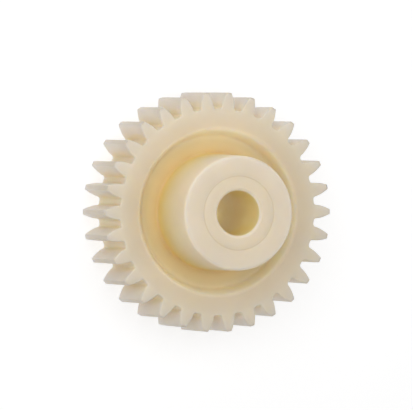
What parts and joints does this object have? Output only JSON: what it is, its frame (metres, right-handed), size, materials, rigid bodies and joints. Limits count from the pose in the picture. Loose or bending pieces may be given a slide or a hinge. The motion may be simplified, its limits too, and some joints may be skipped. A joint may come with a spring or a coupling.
{
  "type": "spur gear",
  "caption": "One-piece moulded plastic spur gear with straight involute teeth, a web recessed on both sides, a long hub on one side and a plain round bore.",
  "frame": {"origin": "centre of the bore on the flat rear face, the face away from the hub's nose", "axes": "+Z along the bore towards the nose of the hub, +X through the middle of a tooth"},
  "size_m": [0.032, 0.0318, 0.017],
  "materials": {
    "natural_acetal": "undyed cream acetal, semi-matte as moulded, slightly translucent at its thin edges"
  },
  "bodies": {
    "root": {"spur_gear": "natural_acetal"}
  },
  "joints": []
}
